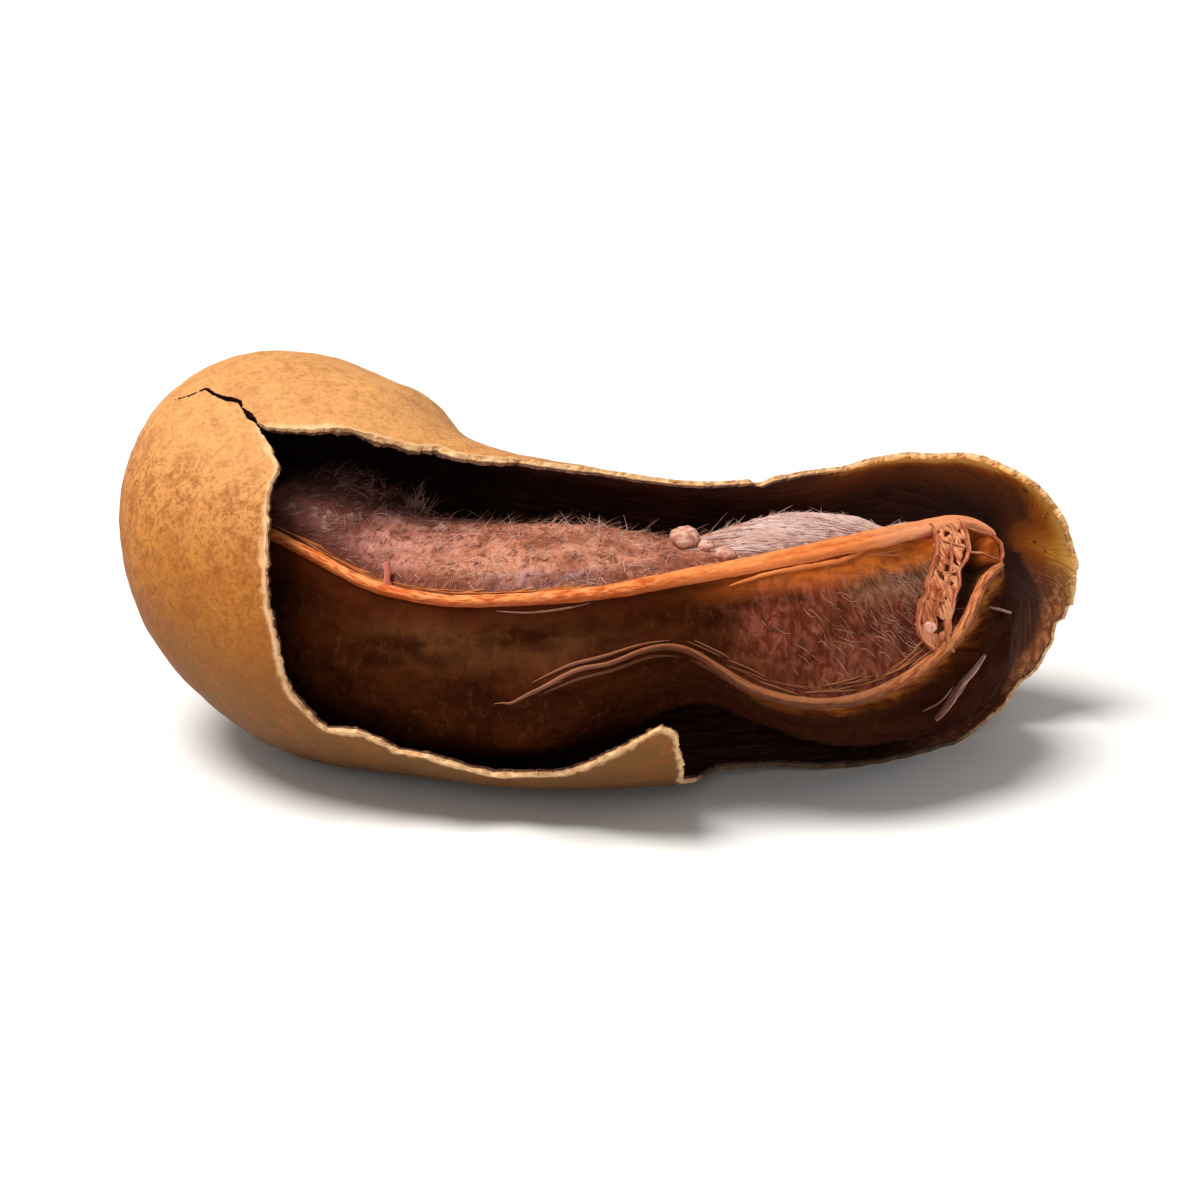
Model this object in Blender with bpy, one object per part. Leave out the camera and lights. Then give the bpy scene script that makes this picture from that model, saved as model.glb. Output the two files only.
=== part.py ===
"""A tamarind pod lying on its side, with the near wall of its shell broken away.

The shell is a thin, brittle skin round a short row of two lobes with a waist between them. Inside it
lies one body of sticky pulp of the same shape, a little smaller. Three fibres run along the pulp.
Everything is laid out on one curved centreline: a station along it, and an angle round it that is
0 towards the open side, 90 at the top and -90 at the floor.
"""

import bpy
import numpy as np

MM = 0.001

# The centreline is an arc in plan, bowed towards the open side.
BEND_RADIUS = 36.0
BEND_MIDDLE = (2.0, -3.4)

# The shell: station, radius of the section, and height of its centre.
SHELL_RADIUS = [(-20.6, 13.45), (-14, 11.95), (-4, 11.1), (6.5, 10.3), (21.5, 11.1)]
SHELL_HEIGHT = [(-20.6, 13.05), (-14, 12.2), (-4, 11.75), (6.5, 11.3), (21.5, 10.7)]
SHELL_SHIFT = [(-20.6, -1.0), (-14, -0.3), (-4, 0.0), (21.5, 0.0)]
SHELL_ENDS = (16.5, 11.3)  # length of the domed end past the first and last station
SHELL_END_POWER = (2.55, 2.3)
SHELL_END_LIFT = (4.9, 0.8)
SHELL_WALL = 0.8

# The edge of the broken-out side, as station and angle: along the top, round the right-hand end,
# back under the pulp, up the flap that is left of the near wall, and up the left-hand cap.
BROKEN_EDGE = [
    (-23.5, 62.5), (-20.6, 68), (-16.5, 78), (-11.8, 90), (-7.5, 99), (-4.2, 104), (-1.1, 112),
    (3, 113), (7, 118), (10, 119), (11.4, 128), (12.5, 122), (20, 131), (25, 127), (27.8, 121),
    (29.6, 98), (30.7, 62), (31.4, 30), (31.6, 5), (31.6, -25), (31.5, -47), (29.6, -72),
    (26.2, -80), (22, -81), (18, -82), (14, -84), (10, -88), (6, -86), (4.1, -70), (3.3, -61.5),
    (2.8, -32), (2.2, -15.5), (0.1, -22), (-2, -35), (-5.5, -44.5), (-10.9, -36), (-14.2, -30),
    (-16.6, -28.5), (-17.9, -14.5), (-18.5, 2), (-19, 11), (-19.7, 33), (-20.7, 52),
]

# The pulp: station, radius, drop of its centre from the shell's, and shift towards the open side.
PULP_RADIUS = [(-22, 9.2), (-16.5, 8.3), (-11, 8.35), (-3, 7.75), (4, 5.8), (12, 8.1), (20, 7.9)]
PULP_RISE = [
    (-22, -2.35), (-16.5, -2.43), (-11, -1.91), (-3, -0.52), (4, 0.96), (12, -0.09), (20, -1.2),
]
PULP_SHIFT = [(-22, 0.0), (-11, 0.3), (-3, 0.5), (4, 0.6), (12, 0.5), (20, 0.3)]
PULP_ENDS = (7.0, 7.2)
PULP_END_POWER = (2.2, 2.5)
PULP_END_LIFT = (1.0, 1.2)

# Fibres on the pulp: station, angle, and half of the width there.
GAP = 0.35
RIDGE_STRAND = [
    (-25, 57, 0.4), (-22.8, 50.5, 0.5), (-20.5, 48.2, 0.5), (-17, 45.6, 0.5), (-13, 43, 0.5),
    (-10, 41.6, 0.5), (-6.7, 42.4, 0.5), (-3.3, 43.8, 0.55), (-0.5, 46, 0.55), (2.3, 50.4, 0.6),
    (5.2, 54.6, 0.65), (8.2, 57.6, 0.7), (12.7, 62.5, 0.8), (15.7, 68.5, 0.95), (18.6, 74, 0.95),
    (21.3, 74.5, 0.8), (23.2, 72, 0.6), (24.2, 65, 0.45), (24.5, 61, 0.35),
]
LOWER_STRAND = [
    (-6.1, -2.5, 0.35), (-4.5, 4, 0.45), (-2.8, 10.2, 0.45), (-1.2, 10.8, 0.45), (0.8, 13.5, 0.5),
    (2.4, 11.5, 0.5), (3.8, 5, 0.5), (5.3, -4.5, 0.5), (7, -12.5, 0.5), (9.2, -14, 0.5),
    (12, -9.7, 0.55), (14.6, -1.5, 0.55), (17.1, 9.8, 0.55), (19.3, 21.5, 0.5), (20.6, 32, 0.5),
    (21.6, 39, 0.45), (22.8, 42.8, 0.4), (23.5, 44, 0.35),
]
END_STRAND = [(20.6, 7, 0.3), (19.8, 1, 0.4), (19, -4.5, 0.45), (18.3, -14, 0.45), (17.7, -23, 0.3)]
STRAND_HALF_THICKNESS = 0.4

ROUND_STEPS = 40
PULP_ROUND_STEPS = 30
STATION_STEP = 2.3
EDGE_SCALE = 11.5  # radius at which angles are turned into lengths when the broken edge is laid flat


def along(knots, s):
    """Smooth curve through (station, value) knots, level before the first and after the last."""
    knots = np.array(knots, float)
    x, y = knots[:, 0], knots[:, 1]
    slope = np.zeros(len(x))
    slope[1:-1] = (y[2:] - y[:-2]) / (x[2:] - x[:-2])
    s = np.clip(s, x[0], x[-1])
    i = np.clip(np.searchsorted(x, s) - 1, 0, len(x) - 2)
    width = x[i + 1] - x[i]
    t = (s - x[i]) / width
    return (
        (2 * t**3 - 3 * t**2 + 1) * y[i] + (t**3 - 2 * t**2 + t) * width * slope[i]
        + (3 * t**2 - 2 * t**3) * y[i + 1] + (t**3 - t**2) * width * slope[i + 1]
    )


def past_ends(knots, ends, s):
    """How far a station is into each domed end, from 0 to 1."""
    left = np.clip((knots[0][0] - s) / ends[0], 0, 1)
    right = np.clip((s - knots[-1][0]) / ends[1], 0, 1)
    return left, right


def placed(s, angle, radius, height, shift=0.0):
    """The point at this radius and angle from the centreline, in millimetres."""
    turn = s / BEND_RADIUS
    out = BEND_RADIUS + shift + radius * np.cos(angle)
    x = BEND_MIDDLE[0] + out * np.sin(turn)
    y = BEND_MIDDLE[1] + BEND_RADIUS - out * np.cos(turn)
    return np.stack([x, y, np.maximum(height + radius * np.sin(angle), 0.0)], axis=-1)


def shell_surface(s, angle):
    left, right = past_ends(SHELL_RADIUS, SHELL_ENDS, s)
    radius = along(SHELL_RADIUS, s) * np.sqrt(1 - left ** SHELL_END_POWER[0])
    radius = radius * np.sqrt(1 - right ** SHELL_END_POWER[1])
    height = along(SHELL_HEIGHT, s) + SHELL_END_LIFT[0] * left**1.5 + SHELL_END_LIFT[1] * right**2
    return placed(s, angle, radius, height, along(SHELL_SHIFT, s))


def pulp_surface(s, angle):
    left, right = past_ends(PULP_RADIUS, PULP_ENDS, s)
    radius = along(PULP_RADIUS, s) * np.sqrt(1 - left ** PULP_END_POWER[0])
    radius = radius * np.sqrt(1 - right ** PULP_END_POWER[1])
    height = along(SHELL_HEIGHT, s) + along(PULP_RISE, s)
    height = height + PULP_END_LIFT[0] * left**2 + PULP_END_LIFT[1] * right**2
    return placed(s, angle, radius, height, along(PULP_SHIFT, s))


def stations(knots, ends):
    """Stations from tip to tip, closing up towards the tips as the domes turn in."""
    first, last = knots[0][0], knots[-1][0]
    dome = np.sin(np.radians(np.linspace(0, 90, 9)))[1:]
    middle = np.linspace(first, last, round((last - first) / STATION_STEP) + 1)
    return np.concatenate([(first - ends[0] * dome)[::-1], middle, last + ends[1] * dome])


def wrapped(surface, rows, round_steps):
    """Flat positions, points and triangles of a closed skin over the stations in rows."""
    angles = np.radians(-90 + 360 * np.arange(round_steps) / round_steps)
    angles = (angles + np.pi) % (2 * np.pi) - np.pi
    s, angle = np.meshgrid(rows[1:-1], angles, indexing="ij")
    flat = np.stack([s.ravel(), angle.ravel()], axis=1)
    flat = np.vstack([flat, [rows[0], 0.0], [rows[-1], 0.0]])
    points = surface(flat[:, 0], flat[:, 1])
    faces = []
    for i in range(len(rows) - 3):
        for j in range(round_steps):
            a, b = i * round_steps + j, i * round_steps + (j + 1) % round_steps
            c, d = b + round_steps, a + round_steps
            faces += [(a, d, c), (a, c, b)] if (i + j) % 2 else [(a, d, b), (d, c, b)]
    tips = len(flat) - 2
    last = (len(rows) - 3) * round_steps
    for j in range(round_steps):
        k = (j + 1) % round_steps
        faces += [(tips, j, k), (tips + 1, last + k, last + j)]
    return flat, points, faces


def clear_of_edge(flat):
    """Distance on the flattened shell to the broken edge, negative inside the broken-out side."""
    edge = np.array(BROKEN_EDGE) * (1, np.pi / 180 * EDGE_SCALE)
    where = flat * (1, EDGE_SCALE)
    nearest = np.full(len(where), np.inf)
    inside = np.zeros(len(where), bool)
    for a, b in zip(edge, np.roll(edge, -1, axis=0)):
        t = np.clip((where - a) @ (b - a) / ((b - a) @ (b - a)), 0, 1)
        nearest = np.minimum(nearest, np.linalg.norm(where - a - t[:, None] * (b - a), axis=1))
        crosses = (a[1] > where[:, 1]) != (b[1] > where[:, 1])
        rise = b[1] - a[1] if b[1] != a[1] else 1.0
        inside ^= crosses & (where[:, 0] < a[0] + (where[:, 1] - a[1]) * (b[0] - a[0]) / rise)
    return np.where(inside, -nearest, nearest)


def broken_out(points, faces, clear):
    """The skin with everything inside the broken edge cut away."""
    points, made, kept = list(points), {}, []

    def crossing(a, b):
        key = (min(a, b), max(a, b))
        if key not in made:
            t = np.clip(clear[key[0]] / (clear[key[0]] - clear[key[1]]), 0.15, 0.85)
            points.append(points[key[0]] * (1 - t) + points[key[1]] * t)
            made[key] = len(points) - 1
        return made[key]

    for face in faces:
        loop = []
        for a, b in zip(face, face[1:] + face[:1]):
            if clear[a] > 0:
                loop.append(a)
            if (clear[a] > 0) != (clear[b] > 0):
                loop.append(crossing(a, b))
        kept += [(loop[0], loop[i], loop[i + 1]) for i in range(1, len(loop) - 1)]
    used = sorted({v for face in kept for v in face})
    new = {old: i for i, old in enumerate(used)}
    return [points[v] for v in used], [tuple(new[v] for v in face) for face in kept]


def strand(knots):
    """Points and faces of a fibre laid on the pulp: an oval section that tapers at both tips."""
    knots = np.array(knots, float)
    count = 3 * (len(knots) - 1) + 1
    order = np.arange(len(knots))
    s, angle, half = (
        along(np.stack([order, knots[:, k]], axis=1), np.linspace(0, order[-1], count))
        for k in range(3)
    )
    angle = np.radians(angle)
    base = pulp_surface(s, angle)
    step = 0.01
    out = np.cross(
        pulp_surface(s + step, angle) - pulp_surface(s - step, angle),
        pulp_surface(s, angle + step) - pulp_surface(s, angle - step),
    )
    out /= np.linalg.norm(out, axis=1, keepdims=True)
    run = np.gradient(base, axis=0)
    side = np.cross(out, run)
    side /= np.linalg.norm(side, axis=1, keepdims=True)
    centre = base + out * (GAP + STRAND_HALF_THICKNESS)
    taper = np.minimum(1, 0.45 + 0.55 * np.minimum(np.arange(count), np.arange(count)[::-1]) / 2)
    points, faces, sides = [], [], 8
    for i in range(count):
        for k in range(sides):
            turn = 2 * np.pi * k / sides
            points.append(
                centre[i] + taper[i] * half[i] * np.cos(turn) * side[i]
                + taper[i] * STRAND_HALF_THICKNESS * np.sin(turn) * out[i]
            )
    for i in range(count - 1):
        for k in range(sides):
            a, b = i * sides + k, i * sides + (k + 1) % sides
            faces += [(a, b, b + sides), (a, b + sides, a + sides)]
    last = (count - 1) * sides
    faces += [(0, k + 1, k) for k in range(1, sides - 1)]
    faces += [(last, last + k, last + k + 1) for k in range(1, sides - 1)]
    return points, faces


def solid(name, points, faces, colour, roughness):
    """A named object with its own material, its points given in millimetres."""
    mesh = bpy.data.meshes.new(name)
    mesh.from_pydata([tuple((p - middle) * MM) for p in np.array(points)], [], faces)
    material = bpy.data.materials.new(name)
    material.use_nodes = True
    surface = material.node_tree.nodes["Principled BSDF"]
    surface.inputs["Base Color"].default_value = (*colour, 1.0)
    surface.inputs["Roughness"].default_value = roughness
    mesh.materials.append(material)
    made = bpy.data.objects.new(name, mesh)
    bpy.context.scene.collection.objects.link(made)
    return made


for old in list(bpy.data.objects):
    bpy.data.objects.remove(old)

flat, points, faces = wrapped(shell_surface, stations(SHELL_RADIUS, SHELL_ENDS), ROUND_STEPS)
shell_shape = broken_out(points, faces, clear_of_edge(flat))
pulp_shape = wrapped(pulp_surface, stations(PULP_RADIUS, PULP_ENDS), PULP_ROUND_STEPS)[1:]
strand_shapes = [strand(knots) for knots in (RIDGE_STRAND, LOWER_STRAND, END_STRAND)]

# The origin is on the floor, under the middle of the whole object's bounding box.
everything = np.vstack([shape[0] for shape in (shell_shape, pulp_shape, *strand_shapes)])
middle = (everything.min(axis=0) + everything.max(axis=0)) / 2 * (1, 1, 0)

shell = solid("shell", *shell_shape, (0.55, 0.27, 0.10), 0.7)
wall = shell.modifiers.new("wall", "SOLIDIFY")
wall.thickness = SHELL_WALL * MM
wall.offset = -1.0
wall.use_even_offset = True

solid("pulp", *pulp_shape, (0.14, 0.045, 0.025), 0.4)
solid("ridge_strand", *strand_shapes[0], (0.50, 0.18, 0.07), 0.45)
solid("lower_strand", *strand_shapes[1], (0.30, 0.12, 0.06), 0.45)
solid("end_strand", *strand_shapes[2], (0.36, 0.20, 0.15), 0.5)
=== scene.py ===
import bpy
import numpy as np
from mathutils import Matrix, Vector, noise
from mathutils.bvhtree import BVHTree


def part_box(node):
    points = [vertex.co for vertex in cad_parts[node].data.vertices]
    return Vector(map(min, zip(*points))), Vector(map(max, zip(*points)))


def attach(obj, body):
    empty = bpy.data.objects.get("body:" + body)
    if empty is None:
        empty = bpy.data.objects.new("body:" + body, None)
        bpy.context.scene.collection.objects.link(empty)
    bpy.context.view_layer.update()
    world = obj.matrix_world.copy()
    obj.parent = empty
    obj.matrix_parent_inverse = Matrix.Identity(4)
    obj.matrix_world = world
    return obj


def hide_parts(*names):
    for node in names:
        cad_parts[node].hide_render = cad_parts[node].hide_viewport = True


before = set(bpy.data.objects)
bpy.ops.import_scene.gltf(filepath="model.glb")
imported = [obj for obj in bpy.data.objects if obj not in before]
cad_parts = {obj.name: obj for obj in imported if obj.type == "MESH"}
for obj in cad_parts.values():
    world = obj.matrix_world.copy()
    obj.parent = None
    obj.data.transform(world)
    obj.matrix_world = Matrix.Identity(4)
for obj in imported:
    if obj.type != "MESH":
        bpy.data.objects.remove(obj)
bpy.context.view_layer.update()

# ---------------------------------------------------------------------------------------------
# The shell: a brittle husk under a millimetre thick, in two lobes with a waist between them.
# Its near wall has broken away, which leaves a ragged pale edge, and a crack runs on from the
# corner of the break into the closed end.
# ---------------------------------------------------------------------------------------------

# Lengths are in millimetres. A station is a distance along the pod's curved centreline, and the
# lists in pairs give a value at each of several stations.
MM = 0.001
BEND_RADIUS = 36.0
BEND_MIDDLE = (2.0, -3.4)
SHELL_RADIUS = [(-20.6, 13.45), (-14, 11.95), (-4, 11.1), (6.5, 10.3), (21.5, 11.1)]
SHELL_HEIGHT = [(-20.6, 13.05), (-14, 12.2), (-4, 11.75), (6.5, 11.3), (21.5, 10.7)]
SHELL_SHIFT = [(-20.6, -1.0), (-14, -0.3), (-4, 0.0), (21.5, 0.0)]
SHELL_ENDS = (16.5, 11.3)
SHELL_END_POWER = (2.55, 2.3)
SHELL_END_LIFT = (4.9, 0.8)
SHELL_WALL = 0.8
RIM_WALL = 0.48
FLOOR_WALL = 0.25
SHELL_STEP = 0.42
CRACK_STEP = 0.13
RIM_DEPTHS = (0.25, 0.5, 0.75)
# Millimetres to a radian where the shell is laid flat.
EDGE_SCALE = 11.5

# Station along the pod and angle round it, clockwise from the corner where the crack starts.
BROKEN_EDGE = [
    (-23.5, 62.5), (-20.6, 68.5), (-16.7, 79), (-14.6, 85.5), (-13.5, 92), (-11.8, 91), (-7.6, 101),
    (-4.2, 105.5), (-1.1, 111), (3, 113), (7, 117), (9.8, 119), (10.7, 127), (11.6, 129),
    (12.5, 121), (16, 126), (20, 131), (25, 127), (27.8, 121), (29.6, 98), (30.7, 62), (31.4, 30),
    (31.6, 5), (31.6, -25), (31.5, -47), (29.6, -72), (26.2, -80), (22, -81), (18, -82), (14, -84),
    (10, -88), (6, -86), (4.1, -70), (3.3, -61.5), (2.9, -32), (2.5, -16.5), (1.6, -13), (0.1, -21),
    (-2, -33.5), (-3.6, -41), (-5.4, -41.5), (-7.4, -45), (-10.9, -33.5), (-12.8, -34),
    (-14, -26.5), (-16.4, -27.5), (-17.9, -14.5), (-18.5, 3), (-19, 12), (-19.6, 27), (-20.5, 43),
    (-20.8, 53),
]
# Station, angle and half of its width.
CRACK = [
    (-31.3, 56.5, 0.07), (-30.2, 61, 0.10), (-29.4, 66, 0.11), (-28.3, 65.5, 0.13),
    (-27.2, 66, 0.2), (-26.2, 67.5, 0.17), (-25.7, 66, 0.08), (-24.7, 64.5, 0.2), (-24, 63.5, 0.12),
    (-23.2, 62.5, 0.16),
]


def along(knots, s):
    """Smooth curve through (station, value) knots, level before the first and after the last."""
    knots = np.array(knots, float)
    x, y = knots[:, 0], knots[:, 1]
    slope = np.zeros(len(x))
    slope[1:-1] = (y[2:] - y[:-2]) / (x[2:] - x[:-2])
    s = np.clip(s, x[0], x[-1])
    i = np.clip(np.searchsorted(x, s) - 1, 0, len(x) - 2)
    width = x[i + 1] - x[i]
    t = (s - x[i]) / width
    return (
        (2 * t**3 - 3 * t**2 + 1) * y[i] + (t**3 - 2 * t**2 + t) * width * slope[i]
        + (3 * t**2 - 2 * t**3) * y[i + 1] + (t**3 - t**2) * width * slope[i + 1]
    )


def past_ends(knots, ends, s):
    """How far a station is into each domed end, from 0 to 1."""
    left = np.clip((knots[0][0] - s) / ends[0], 0, 1)
    right = np.clip((s - knots[-1][0]) / ends[1], 0, 1)
    return left, right


def placed(s, angle, radius, height, shift=0.0):
    """The point at this radius and angle from the curved centreline, in millimetres."""
    turn = s / BEND_RADIUS
    out = BEND_RADIUS + shift + radius * np.cos(angle)
    x = BEND_MIDDLE[0] + out * np.sin(turn)
    y = BEND_MIDDLE[1] + BEND_RADIUS - out * np.cos(turn)
    return np.stack([x, y, np.maximum(height + radius * np.sin(angle), 0.0)], axis=-1)


def shell_surface(s, angle):
    """The smooth outside of the whole shell, before it broke."""
    left, right = past_ends(SHELL_RADIUS, SHELL_ENDS, s)
    radius = along(SHELL_RADIUS, s) * np.sqrt(1 - left ** SHELL_END_POWER[0])
    radius = radius * np.sqrt(1 - right ** SHELL_END_POWER[1])
    height = along(SHELL_HEIGHT, s) + SHELL_END_LIFT[0] * left**1.5 + SHELL_END_LIFT[1] * right**2
    return placed(s, angle, radius, height, along(SHELL_SHIFT, s))


def stations(knots, ends, step, extra=()):
    """Stations from tip to tip, closing up towards the tips as the domes turn in."""
    first, last = knots[0][0], knots[-1][0]
    left = np.sin(np.linspace(0, np.pi / 2, round(1.6 * ends[0] / step)))
    right = np.sin(np.linspace(0, np.pi / 2, round(1.6 * ends[1] / step)))
    middle = np.linspace(first, last, round((last - first) / step) + 1)
    rows = np.concatenate([first - ends[0] * left, middle, last + ends[1] * right, extra])
    rows = np.sort(rows)
    return np.concatenate([rows[:-1][np.diff(rows) > 0.25 * step], rows[-1:]])


def wrapped(surface, rows, angles):
    """Flat positions, points and triangles of a closed skin over these stations and angles."""
    s, angle = np.meshgrid(rows[1:-1], angles, indexing="ij")
    flat = np.stack([s.ravel(), angle.ravel()], axis=1)
    flat = np.vstack([flat, [rows[0], 0.0], [rows[-1], 0.0]])
    across = len(angles)
    i, j = np.meshgrid(np.arange(len(rows) - 3), np.arange(across), indexing="ij")
    a, b = i * across + j, i * across + (j + 1) % across
    c, d = b + across, a + across
    turned = ((i + j) % 2 == 1)[..., None]
    one = np.where(turned, np.stack([a, d, c], -1), np.stack([a, d, b], -1))
    two = np.where(turned, np.stack([a, c, b], -1), np.stack([d, c, b], -1))
    j, k = np.arange(across), np.roll(np.arange(across), -1)
    tip, last = np.full(across, len(flat) - 2), (len(rows) - 3) * across
    faces = np.vstack([
        one.reshape(-1, 3), two.reshape(-1, 3),
        np.stack([tip, j, k], -1), np.stack([tip + 1, last + k, last + j], -1),
    ])
    return flat, surface(flat[:, 0], flat[:, 1]), faces


def unit(vectors):
    return vectors / np.maximum(np.linalg.norm(vectors, axis=-1, keepdims=True), 1e-12)


def facing(points, faces):
    """Outward direction at each point of a mesh."""
    corners = points[faces]
    turn = np.cross(corners[:, 1] - corners[:, 0], corners[:, 2] - corners[:, 0])
    out = np.zeros_like(points)
    for k in range(3):
        np.add.at(out, faces[:, k], turn)
    return unit(out)


def rough(points, size, seed, octaves=2):
    """Smooth unevenness, mostly from -1 to 1, in lumps of about this size."""
    shift = Vector((17.3 * seed, 5.1 * seed, 9.7 * seed))
    places = [Vector(p) / size + shift for p in points]
    return np.array([noise.fractal(place, 1.0, 2.0, octaves) for place in places])


def rise(values, low, high):
    """0 up to low, 1 from high on, and smooth between. High may be the smaller."""
    t = np.clip((values - low) / (high - low), 0, 1)
    return t * t * (3 - 2 * t)


def off_line(where, line):
    """Distance from each place on the flattened shell to a line, and how far along it is met."""
    nearest, met = np.full(len(where), np.inf), np.zeros(len(where))
    for k, (a, b) in enumerate(zip(line[:-1], line[1:])):
        t = np.clip((where - a) @ (b - a) / ((b - a) @ (b - a)), 0, 1)
        far = np.linalg.norm(where - a - t[:, None] * (b - a), axis=1)
        met = np.where(far < nearest, k + t, met)
        nearest = np.minimum(nearest, far)
    return nearest, met


def within(where, edge):
    """Distance from each place to a closed edge, below 0 outside it."""
    inside = np.zeros(len(where), bool)
    for a, b in zip(edge, np.roll(edge, -1, axis=0)):
        crosses = (a[1] > where[:, 1]) != (b[1] > where[:, 1])
        climb = b[1] - a[1] if b[1] != a[1] else 1.0
        inside ^= crosses & (where[:, 0] < a[0] + (where[:, 1] - a[1]) * (b[0] - a[0]) / climb)
    distance, _ = off_line(where, np.vstack([edge, edge[:1]]))
    return np.where(inside, distance, -distance)


def cut_away(data, faces, clear):
    """The skin where clear is above 0. Rows of data are carried on to the points of the cut."""
    kept_corners = clear[faces] > 0
    whole = faces[kept_corners.all(axis=1)]
    mixed = faces[kept_corners.any(axis=1) & ~kept_corners.all(axis=1)]
    new_rows, made, pieces = [], {}, []

    def crossing(a, b):
        key = (min(a, b), max(a, b))
        if key not in made:
            t = np.clip(clear[key[0]] / (clear[key[0]] - clear[key[1]]), 0.12, 0.88)
            new_rows.append(data[key[0]] * (1 - t) + data[key[1]] * t)
            made[key] = len(data) + len(new_rows) - 1
        return made[key]

    for face in mixed.tolist():
        loop = []
        for a, b in zip(face, face[1:] + face[:1]):
            if clear[a] > 0:
                loop.append(a)
            if (clear[a] > 0) != (clear[b] > 0):
                loop.append(crossing(a, b))
        pieces += [(loop[0], loop[i], loop[i + 1]) for i in range(1, len(loop) - 1)]
    faces = np.vstack([whole, np.array(pieces)])
    used, faces = np.unique(faces, return_inverse=True)
    return np.vstack([data, np.array(new_rows)])[used], faces.reshape(-1, 3)


def open_edges(faces):
    """The directed edges that only one face uses, each with the face on its left."""
    ends = np.concatenate([faces[:, [0, 1]], faces[:, [1, 2]], faces[:, [2, 0]]])
    key = np.sort(ends, axis=1)
    _, index, count = np.unique(key, axis=0, return_inverse=True, return_counts=True)
    return ends[count[index.reshape(-1)] == 1]


def made(name, points, faces, kinds=None, smooth_below=180, **noted):
    """A mesh object from points in millimetres, with named values noted on its points."""
    mesh = bpy.data.meshes.new(name)
    mesh.from_pydata((points * MM).tolist(), [], faces.tolist())
    for label, values in noted.items():
        wide = values.ndim == 2
        note = mesh.attributes.new(label, "FLOAT_VECTOR" if wide else "FLOAT", "POINT")
        note.data.foreach_set("vector" if wide else "value", values.astype(np.float32).ravel())
    if kinds is not None:
        mesh.polygons.foreach_set("material_index", kinds.astype(np.int32))
    mesh.polygons.foreach_set("use_smooth", np.ones(len(faces), bool))
    mesh.set_sharp_from_angle(angle=np.radians(smooth_below))
    piece = bpy.data.objects.new(name, mesh)
    bpy.context.scene.collection.objects.link(piece)
    return piece


# The grid is finer along the crack and round it.
near_crack = np.arange(-31.6, -21.6, CRACK_STEP)
angles = np.concatenate([
    np.arange(-180, 54, 1.75), np.arange(54, 77, 0.62), np.arange(77, 179, 1.75)
])
flat, smooth_shell, faces = wrapped(
    shell_surface, stations(SHELL_RADIUS, SHELL_ENDS, SHELL_STEP, near_crack), np.radians(angles)
)
# The box of the solid shell says where the middle of the frame is.
shell_low, shell_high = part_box("shell")
middle = np.array([
    smooth_shell[:, 0].min() - shell_low.x / MM, smooth_shell[:, 1].max() - shell_high.y / MM, 0
])
outward = facing(smooth_shell, faces)
# The husk is lumpy except where it rests on the floor.
lumps = (
    0.16 * rough(smooth_shell, 9.0, 1) + 0.07 * rough(smooth_shell, 2.6, 2)
    + 0.035 * rough(smooth_shell, 0.9, 3)
)
off_floor = np.clip(smooth_shell[:, 2] / 2.0, 0, 1)
outer = smooth_shell + outward * (lumps * off_floor)[:, None]

# Distance of each point from the break and from the crack, below 0 where the husk is gone.
laid_flat = flat * (1, EDGE_SCALE)
edge = np.array(BROKEN_EDGE) * (1, np.pi / 180 * EDGE_SCALE)
to_break = -within(laid_flat, edge)
ragged = 0.22 * rough(smooth_shell, 1.5, 4) + 0.12 * rough(smooth_shell, 0.6, 5)
crack_line = np.array(CRACK)[:, :2] * (1, np.pi / 180 * EDGE_SCALE)
to_crack, met = off_line(laid_flat, crack_line)
crack_width = np.interp(met, np.arange(len(CRACK)), np.array(CRACK)[:, 2])
to_crack = to_crack - crack_width * (1 + 0.5 * rough(smooth_shell, 0.5, 6))
clear = np.minimum(to_break + ragged, to_crack)

data = np.column_stack([outer, outward, flat, clear, to_break])
data, faces = cut_away(data, faces, clear)
outer, outward, flat, clear, to_break = np.split(data, [3, 6, 8, 9], axis=1)
outward = unit(outward)

# The wall thins towards the break. Its lining is fibrous, and along the top it stands out past
# the husk in ragged shreds. The broken face joins the two skins in four strips.
flat_threads = np.column_stack([flat[:, 0] / 6, flat[:, 1] * EDGE_SCALE, 0 * flat[:, 0]])
wall = RIM_WALL + (SHELL_WALL - RIM_WALL) * rise(to_break[:, 0], 0.2, 2.4)
wall = wall + 0.07 * rough(outer, 3.0, 8) + 0.05 * rough(flat_threads, 0.7, 7)
inner = outer - outward * wall[:, None]
inner[:, 2] = np.maximum(inner[:, 2], FLOOR_WALL)

rim = open_edges(faces)
run = outer[rim[:, 1]] - outer[rim[:, 0]]
away = np.zeros_like(outer)
for k in range(2):
    np.add.at(away, rim[:, k], np.cross(run, outward[rim[:, k]]))
on_rim = np.unique(rim)
away = unit(away)
rim_s, rim_angle = flat[on_rim, 0], np.degrees(flat[on_rim, 1])
at_break = to_break[on_rim, 0] < 0.5
along_top = rise(rim_angle, 66, 84) * rise(rim_angle, 150, 138) * rise(rim_s, 26, 12)
teeth = 0.5 + 0.5 * rough(outer[on_rim], 1.1, 9) + 0.35 * rough(outer[on_rim], 0.45, 10)
shreds = (at_break * (0.10 + 0.62 * along_top) * np.clip(teeth, 0, 1.4))[:, None]
jitter = np.random.default_rng(5).normal(0, 1, (5, len(on_rim), 1))
rings, rim_points = [np.arange(len(outer))], []
depths = [np.zeros(len(outer)), np.ones(len(outer))]
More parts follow.
